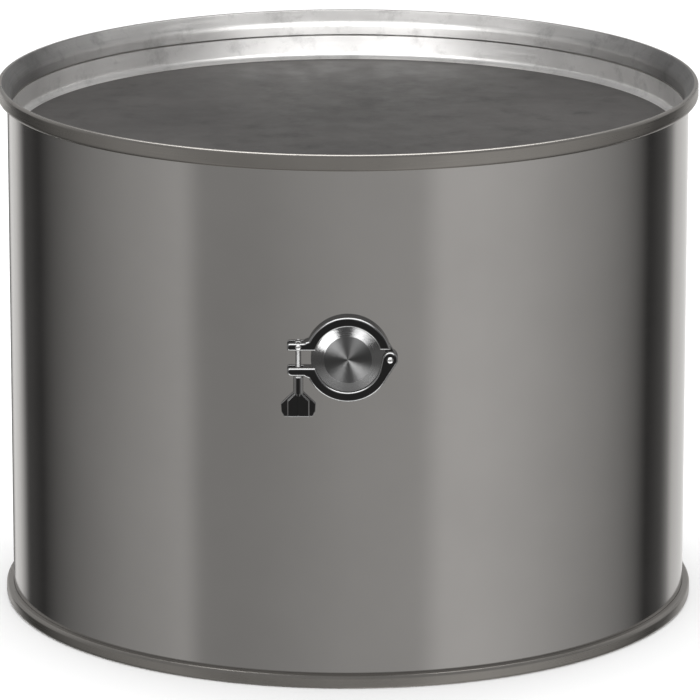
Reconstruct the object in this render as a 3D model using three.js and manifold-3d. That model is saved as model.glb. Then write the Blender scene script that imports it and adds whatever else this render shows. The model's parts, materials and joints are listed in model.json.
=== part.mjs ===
// Squat stainless steel drum with rolled chimes, recessed heads and a clamped sanitary side port.
// Millimetres, +Z up. The origin is on the drum's axis, in the plane that the drum stands on.
// The port points along -Y, and its parts are described from the port's own axis.

import * as THREE from 'three';
import { mergeVertices } from 'three/addons/utils/BufferGeometryUtils.js';
import Module from 'manifold-3d';

// ---- drum ----
const HEIGHT = 583;              // base plane to the crest of the top chime
const BODY_R = 375;              // outside of the cylindrical wall
const SHEET = 2;                 // wall and head thickness
const GAP = 0.3;                 // space kept between pieces that touch
const TOP_CHIME_R = 385.5;
const TOP_CHIME_DROP = 18;       // crest to the underside of the roll
const TOP_SKIRT_DROP = 27;       // crest to the lower edge of the chime's inner skirt
const CHIME_SHEET = 1.8;
const CREST_R = 3.2;             // outer radius of the rim's crest
const FLARE_ANGLE = 144.5;       // where the crest's arc runs into the flared skirt
const BOTTOM_CHIME_R = 383;
const BOTTOM_CHIME_H = 14.8;
const FOOT_SHEET = 1.5;
const TOP_HEAD_DROP = 55;        // crest to the panel's upper face
const TOP_KNUCKLE_R = 7;
const BOTTOM_HEAD_Z = 5.5;       // lower face of the bottom head
const BOTTOM_KNUCKLE_R = 8;
const BOTTOM_FLANGE_TOP = 28;
const SEAM_WIDTH = 3.4;
const TOP_WIRE_R = 2.7;
const BOTTOM_WIRE_R = 2.5;
const DRUM_SEGMENTS = 48;

// ---- port: a 2.5 inch clamp ferrule on a 63.5 mm tube ----
const PORT_Z = 371;              // height of the port's axis
const JOINT_S = 406;             // drum axis to the gasket's middle plane
const TUBE_R = 31.75;
const TUBE_BORE_R = 30.1;
const FLANGE_R = 38.75;
const FLANGE_EDGE = 2.85;        // thickness of the flange at its rim
const FLANGE_SLOPE = Math.tan(THREE.MathUtils.degToRad(20));
const GASKET_HALF = 0.8;
const CAP_FACE_R = 25;
const PORT_SEGMENTS = 40;

// ---- hinged clamp ----
const CLAMP_HALF = 10;           // half of its width along the port
const CLAMP_R = 45.6;
const CLAMP_LIP_R = 35.1;
const GROOVE_R = 39.6;
const CLAMP_EDGE = 1.7;
const EAR_X = -63.7;
const EAR_UPPER = [9.5, 17.6];
const EAR_LOWER = [-17.7, -9];
const EAR_CORNER = 2.3;
const EAR_ROUND = 5.5;           // outer lower corner of the lower ear
const HINGE_X = 44.1;
const LUG_R = 8.3;
const TONGUE_HALF = 3.3;
const FORK_HALF = 3.7;
const OPEN_ANGLE = THREE.MathUtils.degToRad(11);
const HINGE_PIN_R = 2.3;

// ---- swing bolt, 1/4 inch, and wing nut ----
const BOLT_X = -51.9;
const BOLT_PIN_Z = 14.2;
const BOLT_R = 3.175;
const BOLT_END = -57;
const EYE_R = 4.6;
const EYE_HALF = 3.2;
const BOLT_PIN_R = 2;
const SLOT_HALF = 3.65;
const SLOT_END_X = -46.4;
const SEAT_GAP = 1;              // nut backed off from the ear by most of a turn
const WASHER_R = 5.6;
const WASHER_T = 1;
const NECK_R = 5.3;
const NUT_BOTTOM = -63.2;
const WING_HALF = 18.4;
const WING_T = 4.6;
const BOSS_HALF = 11.3;
const BOSS_T = 9;

const { Vector2, Shape, Path } = THREE;
const wasm = await Module();
wasm.setup();

const part = new THREE.Group();
const port = new THREE.Group();
port.position.set(0, 0, PORT_Z);
part.add(port);

// ---- materials ----
function metal(name, color, roughness, metalness = 1) {
  return new THREE.MeshStandardMaterial({ name, color, roughness, metalness });
}
const satinSteel = metal('satin_steel', 0x928f8b, 0.3);
const panelSteel = metal('dark_panel', 0x5f5c5b, 0.6, 0.6);
const weldSteel = metal('weld_bead', 0x7d7a77, 0.45);
const castSteel = metal('polished_cast_steel', 0xa8a6a3, 0.18);
const turnedSteel = metal('turned_steel', 0x9c9c9a, 0.28);
const wireSteel = metal('wire', 0x8a8885, 0.4);
const rubber = metal('gasket_rubber', 0xe4e1da, 0.6, 0);

// ---- helpers ----
function arc(cx, cy, r, from, to, steps) {
  const points = [];
  for (let i = 0; i <= steps; i += 1) {
    const a = THREE.MathUtils.degToRad(from + ((to - from) * i) / steps);
    points.push([cx + r * Math.cos(a), cy + r * Math.sin(a)]);
  }
  return points;
}

// A turned ring or disc about +Z. The profile runs anticlockwise in (radius, height).
function lathe(profile, segments = DRUM_SEGMENTS) {
  const points = profile.map(([r, h]) => new Vector2(r, h));
  return new THREE.LatheGeometry(points, segments).rotateX(Math.PI / 2);
}
const ring = (profile, segments) => lathe([...profile, profile[0]], segments);

// The same about the port's axis, with height measured outward along -Y.
const turned = (profile, segments = PORT_SEGMENTS) => lathe(profile, segments).rotateX(Math.PI / 2);
const turnedRing = (profile, segments) => turned([...profile, profile[0]], segments);

// A plate with its outline in the XZ plane, centred on the clamp's middle plane.
function plate(outline, half, edge = 0, holes = []) {
  const shape = new Shape(outline.map(([x, z]) => new Vector2(x, z)));
  for (const [x, z, r] of holes) {
    shape.holes.push(new Path().absarc(x, z, r, 0, 2 * Math.PI, true));
  }
  const geometry = new THREE.ExtrudeGeometry(shape, {
    depth: 2 * (half - edge),
    bevelEnabled: edge > 0,
    bevelThickness: edge,
    bevelSize: edge,
    bevelOffset: -edge,
    bevelSegments: 2,
    curveSegments: 8,
  });
  return geometry.translate(0, 0, JOINT_S - half + edge).rotateX(Math.PI / 2);
}

function solid(geometry) {
  geometry.deleteAttribute('normal');
  geometry.deleteAttribute('uv');
  const merged = mergeVertices(geometry, 1e-4);
  return new wasm.Manifold(new wasm.Mesh({
    numProp: 3,
    vertProperties: new Float32Array(merged.attributes.position.array),
    triVerts: new Uint32Array(merged.index.array),
  }));
}

function surface(manifold) {
  const mesh = manifold.getMesh();
  const geometry = new THREE.BufferGeometry();
  geometry.setAttribute('position', new THREE.BufferAttribute(mesh.vertProperties, 3));
  geometry.setIndex(new THREE.BufferAttribute(mesh.triVerts, 1));
  geometry.computeVertexNormals();
  return geometry;
}

function add(parent, name, geometry, material) {
  const mesh = new THREE.Mesh(geometry, material);
  mesh.name = name;
  parent.add(mesh);
}

function box(x0, x1, y0, y1, z0, z1) {
  const geometry = new THREE.BoxGeometry(x1 - x0, y1 - y0, z1 - z0);
  return geometry.translate((x0 + x1) / 2, (y0 + y1) / 2, (z0 + z1) / 2);
}

// ---- wall: a rolled sheet closed by a weld at the back, pierced for the port ----
const wallR = BODY_R - SHEET;
const wallBase = FOOT_SHEET + GAP;
const wallTop = HEIGHT - 15;
const wall = solid(ring([
  [wallR, wallBase],
  [BODY_R, wallBase],
  [BODY_R, wallTop],
  [wallR, wallTop],
]));
const seamSlot = SEAM_WIDTH / 2 + GAP;
const seamCut = solid(box(-seamSlot, seamSlot, 300, 400, -10, HEIGHT + 10));
const portCut = solid(turned([
  [0, 300],
  [TUBE_R + GAP, 300],
  [TUBE_R + GAP, 400],
  [0, 400],
]).translate(0, 0, PORT_Z));
add(part, 'shell', surface(wall.subtract(seamCut).subtract(portCut)), satinSteel);

const seam = box(
  -SEAM_WIDTH / 2, SEAM_WIDTH / 2,
  wallR, BODY_R + 0.2,
  BOTTOM_CHIME_H + 1, HEIGHT - TOP_CHIME_DROP - 1,
);
add(part, 'shell_seam_weld', seam, weldSteel);

// ---- top chime: an inner skirt flared over the wall's edge, then rolled down outside it ----
const skirtR = wallR - GAP;
const skirtInnerR = skirtR - SHEET;
const crestX = TOP_CHIME_R - CREST_R;
const crestZ = HEIGHT - CREST_R;
const flareFoot = (r, arcR) => {
  const a = FLARE_ANGLE * Math.PI / 180;
  return crestZ + arcR * Math.sin(a) + (crestX + arcR * Math.cos(a) - r) / Math.tan(a);
};
const curl = 5;
add(part, 'top_chime', ring([
  [skirtInnerR, HEIGHT - TOP_SKIRT_DROP],
  [skirtR, HEIGHT - TOP_SKIRT_DROP],
  [skirtR, flareFoot(skirtR, CREST_R - CHIME_SHEET)],
  ...arc(crestX, crestZ, CREST_R - CHIME_SHEET, FLARE_ANGLE, 0, 3),
  ...arc(TOP_CHIME_R - curl, HEIGHT - TOP_CHIME_DROP + curl, curl - CHIME_SHEET, 0, -90, 2),
  [BODY_R + GAP, HEIGHT - TOP_CHIME_DROP + CHIME_SHEET],
  [BODY_R + GAP, HEIGHT - TOP_CHIME_DROP],
  ...arc(TOP_CHIME_R - curl, HEIGHT - TOP_CHIME_DROP + curl, curl, -90, 0, 3),
  ...arc(crestX, crestZ, CREST_R, 0, FLARE_ANGLE, 5),
  [skirtInnerR, flareFoot(skirtInnerR, CREST_R)],
]), satinSteel);

const wireSection = (r, z, wire) => arc(r, z, wire, 0, 300, 5);
add(part, 'top_chime_wire', ring(wireSection(380.6, HEIGHT - 11.5, TOP_WIRE_R)), wireSteel);

// ---- bottom chime: a curled foot band under and around the wall's lower edge ----
const footR = BOTTOM_CHIME_R;
add(part, 'bottom_chime', ring([
  [skirtR, 0],
  ...arc(footR - 4, 4, 4, -90, 0, 3),
  ...arc(footR - 4.4, BOTTOM_CHIME_H - 4.4, 4.4, 0, 90, 3),
  [BODY_R + GAP, BOTTOM_CHIME_H],
  [BODY_R + GAP, BOTTOM_CHIME_H - FOOT_SHEET],
  ...arc(footR - 4.4, BOTTOM_CHIME_H - 4.4, 4.4 - FOOT_SHEET, 90, 0, 2),
  ...arc(footR - 4, 4, 4 - FOOT_SHEET, 0, -90, 2),
  [skirtR, FOOT_SHEET],
]), satinSteel);
add(part, 'bottom_chime_wire', ring(wireSection(378.3, 7.3, BOTTOM_WIRE_R)), wireSteel);

// ---- heads: flat pressed pans whose flanges stand up against the wall ----
const topPanel = HEIGHT - TOP_HEAD_DROP;
const topKnuckle = topPanel + TOP_KNUCKLE_R;
const topSeam = HEIGHT - TOP_SKIRT_DROP - 1.8;
add(part, 'top_head', lathe([
  [0, topPanel - SHEET],
  ...arc(skirtR - TOP_KNUCKLE_R - SHEET, topKnuckle, TOP_KNUCKLE_R + SHEET, -90, 0, 3),
  [skirtR, topSeam],
  [skirtInnerR, topSeam],
  ...arc(skirtInnerR - TOP_KNUCKLE_R, topKnuckle, TOP_KNUCKLE_R, 0, -90, 3),
  [0, topPanel],
]), panelSteel);
add(part, 'top_head_weld', ring([
  [skirtInnerR + 0.5, topSeam + GAP],
  [skirtR, topSeam + GAP],
  [skirtR, topSeam + 1.8 - GAP],
  [skirtInnerR + 0.5, topSeam + 1.8 - GAP],
]), weldSteel);

const bottomKnuckle = BOTTOM_HEAD_Z + BOTTOM_KNUCKLE_R;
add(part, 'bottom_head', lathe([
  [0, BOTTOM_HEAD_Z],
  ...arc(skirtR - BOTTOM_KNUCKLE_R, bottomKnuckle, BOTTOM_KNUCKLE_R, -90, 0, 3),
  [skirtR, BOTTOM_FLANGE_TOP],
  [skirtInnerR, BOTTOM_FLANGE_TOP],
  ...arc(skirtR - BOTTOM_KNUCKLE_R, bottomKnuckle, BOTTOM_KNUCKLE_R - SHEET, 0, -90, 3),
  [0, BOTTOM_HEAD_Z + SHEET],
]), satinSteel);
add(part, 'bottom_head_weld', ring([
  [skirtR - 3.6, 3.4],
  [skirtR - 1, FOOT_SHEET + GAP],
  [skirtR, FOOT_SHEET + GAP],
  [skirtR, 8.6],
]), weldSteel);

// ---- port: ferrule, weld, gasket and solid end cap ----
const ferruleFace = JOINT_S - GASKET_HALF - GAP;
const capFace = JOINT_S + GASKET_HALF + GAP;
const flangeRootR = 33.4;
const flangeBack = ferruleFace - FLANGE_EDGE;
add(port, 'port_ferrule', turnedRing([
  [TUBE_BORE_R, 371],
  [TUBE_R, 371],
  [TUBE_R, 398],
  [32.1, flangeBack - 3],
  [flangeRootR, flangeBack - (FLANGE_R - flangeRootR) * FLANGE_SLOPE],
  [FLANGE_R, flangeBack],
  [FLANGE_R, ferruleFace],
  [TUBE_BORE_R, ferruleFace],
]), turnedSteel);

const bead = solid(turnedRing([
  [TUBE_R + GAP, 370],
  [TUBE_R + 4, 370],
  [TUBE_R + 4, 374.6],
  [TUBE_R + 2.6, 376.3],
  [TUBE_R + 1, 377.6],
  [TUBE_R + GAP, 378.6],
]));
const wallOutside = solid(lathe([
  [0, -60],
  [BODY_R + GAP, -60],
  [BODY_R + GAP, 60],
  [0, 60],
]));
add(port, 'port_weld', surface(bead.subtract(wallOutside)), weldSteel);

add(port, 'port_gasket', turnedRing([
  [TUBE_BORE_R + 0.2, JOINT_S - GASKET_HALF],
  [FLANGE_R - 0.8, JOINT_S - GASKET_HALF],
  [FLANGE_R - 0.8, JOINT_S + GASKET_HALF],
  [TUBE_BORE_R + 0.2, JOINT_S + GASKET_HALF],
]), rubber);

const capEdge = capFace + FLANGE_EDGE;
const capFront = capEdge + (FLANGE_R - CAP_FACE_R) * FLANGE_SLOPE;
add(port, 'port_cap', turned([
  [0, capFace],
  [FLANGE_R, capFace],
  [FLANGE_R, capEdge],
  [CAP_FACE_R, capFront],
  [0, capFront],
]), turnedSteel);

// ---- clamp jaws: plates cut by the groove that wedges the two flanges together ----
const lipDepth = (r) => GASKET_HALF + GAP + FLANGE_EDGE + 0.36 + (FLANGE_R - r) * FLANGE_SLOPE;
const groove = solid(turned([
  [0, JOINT_S - 12],
  [CLAMP_LIP_R + 4, JOINT_S - 12],
  [CLAMP_LIP_R, JOINT_S - CLAMP_HALF + 2],
  [CLAMP_LIP_R, JOINT_S - lipDepth(CLAMP_LIP_R)],
  [GROOVE_R, JOINT_S - lipDepth(GROOVE_R)],
  [GROOVE_R, JOINT_S + lipDepth(GROOVE_R)],
  [CLAMP_LIP_R, JOINT_S + lipDepth(CLAMP_LIP_R)],
  [CLAMP_LIP_R, JOINT_S + CLAMP_HALF - 2],
  [CLAMP_LIP_R + 4, JOINT_S + 12],
  [0, JOINT_S + 12],
]));
const rod = (x, z, r, half, sides = 20) => plate(arc(x, z, r, 0, 360 - 360 / sides, sides - 1), half);
const pinHoles = solid(rod(HINGE_X, 0, HINGE_PIN_R + 0.2, 12, 16));
const boltPinHole = solid(rod(BOLT_X, BOLT_PIN_Z, BOLT_PIN_R + 0.2, 12, 16));
const earSlot = (z0, z1) => plate([[-70, z0], [SLOT_END_X, z0], [SLOT_END_X, z1], [-70, z1]], SLOT_HALF);

const [upperLow, upperHigh] = EAR_UPPER;
const upperEnd = 10.5;
const upperPlate = solid(plate([
  [-10, upperLow],
  ...arc(EAR_X + EAR_CORNER, upperLow + EAR_CORNER, EAR_CORNER, 270, 180, 2),
  ...arc(EAR_X + EAR_CORNER, upperHigh - EAR_CORNER, EAR_CORNER, 180, 90, 2),
  [-44.6, upperHigh],
  ...arc(0, 0, CLAMP_R, 155, Math.asin(upperEnd / CLAMP_R) * THREE.MathUtils.RAD2DEG, 20),
  [10, upperEnd],
].reverse(), CLAMP_HALF, CLAMP_EDGE));

// The tongue between the fork's cheeks, trimmed to swing clear of the flanges as the jaw opens.
const tangent = Math.acos((CLAMP_R - LUG_R) / HINGE_X) * THREE.MathUtils.RAD2DEG;
const tongueR = LUG_R - 0.6;
let upperJaw = solid(plate([
  [30, 16],
  [30, -8],
  ...arc(HINGE_X, 0, tongueR, -110, tangent, 9),
  ...arc(0, 0, CLAMP_R - 0.5, tangent, tangent + 8, 2),
], TONGUE_HALF)).add(upperPlate).subtract(groove);
for (const step of [0.25, 0.5, 0.75, 1]) {
  const a = OPEN_ANGLE * step;
  upperJaw = upperJaw.subtract(
    solid(rod(HINGE_X * (1 - Math.cos(a)), -HINGE_X * Math.sin(a), GROOVE_R, TONGUE_HALF + 0.2, 64)),
  );
}
upperJaw = upperJaw.subtract(pinHoles).subtract(boltPinHole).subtract(solid(earSlot(0, 30)));
add(port, 'clamp_upper_jaw', surface(upperJaw), castSteel);

const [lowerLow, lowerHigh] = EAR_LOWER;
let lowerJaw = solid(plate([
  [-10, lowerHigh],
  ...arc(EAR_X + EAR_CORNER, lowerHigh - EAR_CORNER, EAR_CORNER, 90, 180, 2),
  ...arc(EAR_X + EAR_ROUND, lowerLow + EAR_ROUND, EAR_ROUND, 180, 270, 4),
  [-44.4, lowerLow],
  ...arc(0, 0, CLAMP_R, 205, 360 - tangent, 18),
  ...arc(HINGE_X, 0, LUG_R, -tangent, 180, 12),
  [34, -8],
  [10, -8],
], CLAMP_HALF, CLAMP_EDGE)).subtract(groove).subtract(pinHoles);
lowerJaw = lowerJaw.subtract(solid(plate([
  ...arc(HINGE_X, 0, LUG_R + 0.3, -175, 30, 12),
  [60, 20],
  [20, 20],
  [20, 0],
], FORK_HALF))).subtract(solid(earSlot(-30, 0)));
add(port, 'clamp_lower_jaw', surface(lowerJaw), castSteel);

// ---- pins with domed heads ----
function rivet(shaftR, headR) {
  const face = CLAMP_HALF + GAP;
  const head = [
    [shaftR, face],
    [headR, face],
    [headR, face + 0.5],
    [headR * 0.72, face + 1.5],
    [0, face + 2],
  ];
  const tail = [...head].reverse().map(([r, s]) => [r, -s]);
  return turned([...tail, ...head].map(([r, s]) => [r, JOINT_S + s]), 20);
}
add(port, 'hinge_pin', rivet(HINGE_PIN_R, 3.5).translate(HINGE_X, 0, 0), castSteel);
add(port, 'bolt_pin', rivet(BOLT_PIN_R, 3.2).translate(BOLT_X, 0, BOLT_PIN_Z), castSteel);

// ---- swing bolt: an eye on the pin and a threaded shank ----
const upright = (profile) => lathe(profile, 20).translate(BOLT_X, -JOINT_S, 0);
const shank = solid(upright([
  [0, BOLT_END],
  [BOLT_R - 0.6, BOLT_END],
  [BOLT_R, BOLT_END + 0.6],
  [BOLT_R, BOLT_PIN_Z - 2],
  [0, BOLT_PIN_Z - 2],
]));
const eye = solid(rod(BOLT_X, BOLT_PIN_Z, EYE_R, EYE_HALF, 24));
const eyeHole = solid(rod(BOLT_X, BOLT_PIN_Z, BOLT_PIN_R + 0.2, 12, 16));
add(port, 'swing_bolt', surface(shank.add(eye).subtract(eyeHole)), castSteel);

// ---- washer and wing nut ----
const washerTop = lowerLow - SEAT_GAP;
const nutTop = washerTop - WASHER_T - GAP;
add(port, 'nut_washer', upright([
  [BOLT_R + 0.2, washerTop - WASHER_T],
  [WASHER_R, washerTop - WASHER_T],
  [WASHER_R, washerTop],
  [BOLT_R + 0.2, washerTop],
  [BOLT_R + 0.2, washerTop - WASHER_T],
]), castSteel);

const shoulder = nutTop - 16.4;
const bothSides = (left) => [...left, ...left.map(([x, z]) => [-x, z]).reverse()]
  .map(([x, z]) => [x + BOLT_X, z]);
const wingOutline = bothSides([
  [-NECK_R, shoulder],
  [-WING_HALF, shoulder - 12.6],
  [-WING_HALF + 0.5, NUT_BOTTOM + 5.6],
  [-15, NUT_BOTTOM + 0.4],
]);
const bossOutline = bothSides([
  [-3, shoulder - 0.6],
  [-BOSS_HALF, shoulder - 9.2],
  [-BOSS_HALF, NUT_BOTTOM],
]);
const neck = solid(upright([
  [0, NUT_BOTTOM + 1.5],
  [NECK_R - 0.6, NUT_BOTTOM + 1.5],
  [NECK_R - 0.6, shoulder - 4],
  [NECK_R, shoulder],
  [NECK_R, nutTop - 0.5],
  [NECK_R - 0.5, nutTop],
  [0, nutTop],
]));
const bore = solid(upright([
  [0, BOLT_END - 2],
  [BOLT_R + 0.2, BOLT_END - 2],
  [BOLT_R + 0.2, nutTop + 5],
  [0, nutTop + 5],
]));
const wings = solid(plate(wingOutline, WING_T / 2, 0.6));
const boss = solid(plate(bossOutline, BOSS_T / 2, 1.2));
add(port, 'wing_nut', surface(wings.add(boss).add(neck).subtract(bore)), castSteel);

export default part;
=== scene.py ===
import json
import math

import bpy
from mathutils import Matrix, Vector


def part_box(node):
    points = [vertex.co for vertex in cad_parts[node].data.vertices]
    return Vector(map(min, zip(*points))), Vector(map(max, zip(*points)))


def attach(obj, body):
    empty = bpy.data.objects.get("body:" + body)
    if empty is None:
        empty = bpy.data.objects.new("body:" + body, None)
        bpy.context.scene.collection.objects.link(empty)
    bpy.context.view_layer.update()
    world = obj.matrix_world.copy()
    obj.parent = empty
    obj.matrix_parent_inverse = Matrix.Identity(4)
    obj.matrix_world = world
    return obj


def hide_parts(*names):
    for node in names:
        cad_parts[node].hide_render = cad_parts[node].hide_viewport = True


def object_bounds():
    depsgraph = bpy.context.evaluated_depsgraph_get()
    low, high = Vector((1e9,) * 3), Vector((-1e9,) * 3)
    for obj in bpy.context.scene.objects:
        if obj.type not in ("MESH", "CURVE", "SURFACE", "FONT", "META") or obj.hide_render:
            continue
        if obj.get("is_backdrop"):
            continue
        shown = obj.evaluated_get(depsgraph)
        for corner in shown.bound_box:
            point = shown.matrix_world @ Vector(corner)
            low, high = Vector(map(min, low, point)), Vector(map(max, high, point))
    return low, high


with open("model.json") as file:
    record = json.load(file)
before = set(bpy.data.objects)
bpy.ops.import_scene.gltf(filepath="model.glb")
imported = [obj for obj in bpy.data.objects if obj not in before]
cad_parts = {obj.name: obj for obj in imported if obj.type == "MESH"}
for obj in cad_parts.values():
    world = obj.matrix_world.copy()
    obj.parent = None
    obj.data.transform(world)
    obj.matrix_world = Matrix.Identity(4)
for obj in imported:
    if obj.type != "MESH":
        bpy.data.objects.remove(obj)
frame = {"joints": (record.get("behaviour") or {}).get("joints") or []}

CAD_LOW, CAD_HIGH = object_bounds()
MM = 0.001


# ---- sizes, in millimetres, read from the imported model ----
def size_of(node):
    """Lowest and highest corner of a CAD node, in millimetres."""
    low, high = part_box(node)
    return low / MM, high / MM


# Sheet thickness of the wall and heads, the top chime and the foot band.
SHEET, CHIME_SHEET, FOOT_SHEET = 2.0, 1.8, 1.5

BODY_R = size_of("shell")[1].x
WALL_LOW, WALL_TOP = size_of("shell")[0].z, size_of("shell")[1].z
RIM_R, HEIGHT = size_of("top_chime")[1].x, size_of("top_chime")[1].z
SKIRT_LOW = size_of("top_chime")[0].z
FOOT_R, FOOT_H = size_of("bottom_chime")[1].x, size_of("bottom_chime")[1].z
HEAD_R = size_of("top_head")[1].x
PANEL_Z = size_of("top_head")[0].z + SHEET
HEAD_TOP = size_of("top_head")[1].z
BOTTOM_Z, BOTTOM_TOP = size_of("bottom_head")[0].z, size_of("bottom_head")[1].z
GASKET_LOW, GASKET_HIGH = size_of("port_gasket")
JOINT_S = -(GASKET_LOW.y + GASKET_HIGH.y) / 2
PORT_Z = (size_of("port_cap")[0].z + size_of("port_cap")[1].z) / 2
FLANGE_R = size_of("port_cap")[1].x
CAP_FACE = -size_of("port_cap")[1].y
CAP_FRONT = -size_of("port_cap")[0].y
FERRULE_FACE = -size_of("port_ferrule")[0].y
CLAMP_HALF = (size_of("clamp_lower_jaw")[1].y - size_of("clamp_lower_jaw")[0].y) / 2
EAR_X = size_of("clamp_lower_jaw")[0].x
LUG_X = size_of("clamp_lower_jaw")[1].x
JOINTS = {joint["name"]: joint for joint in frame["joints"]}
HINGE_X = JOINTS["jaw_open"]["pos_m"][0] / MM
BOLT_X = JOINTS["bolt_swing"]["pos_m"][0] / MM
BOLT_PIN_Z = JOINTS["bolt_swing"]["pos_m"][2] / MM - PORT_Z
BOLT_END = size_of("swing_bolt")[0].z - PORT_Z
WASHER_LOW = size_of("nut_washer")[0].z - PORT_Z
WASHER_TOP = size_of("nut_washer")[1].z - PORT_Z
WASHER_R = (size_of("nut_washer")[1].x - size_of("nut_washer")[0].x) / 2
NUT_TOP, NUT_LOW = size_of("wing_nut")[1].z - PORT_Z, size_of("wing_nut")[0].z - PORT_Z
WING_HALF = (size_of("wing_nut")[1].x - size_of("wing_nut")[0].x) / 2

# Top chime: radii of its crest and of the curl below it, and how far the curl's foot is below the crest.
# The flare's direction, and where the skirt takes over from the roll, are degrees round the crest.
CREST_R, CURL_R, ROLL_DROP = 3.2, 5.0, 18
FLARE_ANGLE, SPLIT_ANGLE = 144.5, 112
FLARE_RUN, FLARE_DROP, FLARE_STEPS = 2.4, 4.2, 8
# Foot band: radii of its lower and upper bends.
FOOT_LOW_R, FOOT_TOP_R = 4, 4.4
# Gap between the wall and a chime's free edge, and between the port's stub and the hole it stands in.
LAP = 0.3
# Radii of the bends between a pan and its upright edge.
PAN_KNUCKLE, BOTTOM_KNUCKLE = 7.0, 8.0
# Port: stub, thickness of a flange at its edge, slope of a flange's back, flat face of the cap.
TUBE_R, TUBE_BORE_R = 31.75, 30.1
FLANGE_EDGE, SLOPE = 2.85, math.tan(math.radians(20))
CAP_FACE_R = 25.0
# Clamp: outside, mouth of the lips and bottom of the groove, as radii.
CLAMP_R, LIP_R, GROOVE_R = 45.6, 35.1, 39.6
LUG_R = LUG_X - HINGE_X
CORNER_R, EAR_ROUND_R, FILLET_R, SOFT_EDGE = 3.0, 5.5, 2.4, 2.4
EAR_UPPER, EAR_LOWER, EAR_ROOT_X = (9.5, 17.6), (-17.7, -9.0), -10
SLOT_HALF, SLOT_END_X, SLOT_MOUTH_X = 3.65, -46.4, -70
FORK_HALF, TONGUE_HALF = 3.7, 3.3
OPEN_ANGLE = math.radians(11)
EYE_R, EYE_HALF, EYE_HOLE_R, BOLT_R = 4.6, 3.2, 2.2, 3.175
THREAD_PITCH, THREAD_DEPTH, THREAD_RUNOUT = 1.27, 0.6, 1.2
BORE_GAP = 0.2
NECK_R, NECK_H = 5.3, 16.4
# Points round a full turn.
DRUM_SEGS, PORT_SEGS, SMALL_SEGS, WELD_SEGS = 256, 144, 64, 1024


# ---- mesh helpers ----
def arc(cx, cy, r, start, end, steps):
    """Points of an arc, angles in degrees, both ends included."""
    angles = [math.radians(start + (end - start) * i / steps) for i in range(steps + 1)]
    return [(cx + r * math.cos(a), cy + r * math.sin(a)) for a in angles]


def around_drum(r, h, a):
    """A point by radius, height and angle about the drum's axis."""
    return (r * math.sin(a), -r * math.cos(a), h)


def around_port(r, s, a):
    """A point by radius, distance out from the drum's axis and angle, about the port's axis."""
    return (r * math.cos(a), -s, PORT_Z + r * math.sin(a))


def revolve(profile, place, segs):
    """Turns a closed profile of (radius, height). A profile that touches the axis is closed by it."""
    solid = profile[0][0] == 0
    count = len(profile)
    verts, rings = [], []
    for r, h in profile:
        if r == 0:
            rings.append([len(verts)] * segs)
            verts.append(place(0, h, 0))
        else:
            rings.append(list(range(len(verts), len(verts) + segs)))
            verts += [place(r, h, 2 * math.pi * i / segs) for i in range(segs)]
    faces = []
    for j in range(count - 1 if solid else count):
        low, high = rings[j], rings[(j + 1) % count]
        for i in range(segs):
            k = (i + 1) % segs
            face = dict.fromkeys((low[i], low[k], high[k], high[i]))
            if len(face) > 2:
                faces.append(tuple(face))
    return verts, faces


def ring_faces(segs, count):
    """Faces of a closed section of count points, repeated round a closed ring."""
    faces = []
    for i in range(segs):
        for j in range(count):
            i2, j2 = (i + 1) % segs, (j + 1) % count
            faces.append((i * count + j, i2 * count + j, i2 * count + j2, i * count + j2))
    return faces


def make_object(name, verts, faces):
    """A solid from its points and faces, with its normals turned outward."""
    mesh = bpy.data.meshes.new(name)
    mesh.from_pydata([tuple(v) for v in verts], [], faces)
    mesh.validate()
    obj = bpy.data.objects.new(name, mesh)
    bpy.context.scene.collection.objects.link(obj)
    bpy.ops.object.select_all(action="DESELECT")
    obj.select_set(True)
    bpy.context.view_layer.objects.active = obj
    bpy.ops.object.mode_set(mode="EDIT")
    bpy.ops.mesh.select_all(action="SELECT")
    bpy.ops.mesh.normals_make_consistent(inside=False)
    bpy.ops.object.mode_set(mode="OBJECT")
    return obj


def bake(obj):
    """Applies an object's modifiers."""
    graph = bpy.context.evaluated_depsgraph_get()
    mesh = bpy.data.meshes.new_from_object(obj.evaluated_get(graph))
    obj.modifiers.clear()
    old, obj.data = obj.data, mesh
    bpy.data.meshes.remove(old)


def combine(obj, operation, *tools):
    """Joins or cuts with other solids, which are used up."""
    for tool in tools:
        modifier = obj.modifiers.new("cut", "BOOLEAN")
        modifier.operation = operation
        modifier.solver = "MANIFOLD"
        modifier.object = tool
    bake(obj)
    for tool in tools:
        bpy.data.objects.remove(tool)


def cast(obj, voxel, passes, keep):
    """Gives a solid the soft edges and fillets of a polished casting."""
    remesh = obj.modifiers.new("remesh", "REMESH")
    remesh.mode = "VOXEL"
    remesh.voxel_size = voxel
    smooth = obj.modifiers.new("smooth", "SMOOTH")
    smooth.factor = 0.5
    smooth.iterations = passes
    thin = obj.modifiers.new("thin", "DECIMATE")
    thin.ratio = keep
    bake(obj)


# Finished pieces by name, for the lights.
PIECES = {}


def piece(obj, body, material, replaces, sharp=35):
    """Scales a finished mesh to metres, shades it, hangs it on its body and hides the nodes it replaces."""
    PIECES[obj.name] = obj
    obj.data.transform(Matrix.Scale(MM, 4))
    obj.data.shade_smooth()
    obj.data.set_sharp_from_angle(angle=math.radians(sharp))
    obj.data.materials.clear()
    obj.data.materials.append(material)
    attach(obj, body)
    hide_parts(*replaces)


def turned(name, profile, place, segs=PORT_SEGS):
    """A solid of revolution."""
    return make_object(name, *revolve(profile, place, segs))


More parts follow.
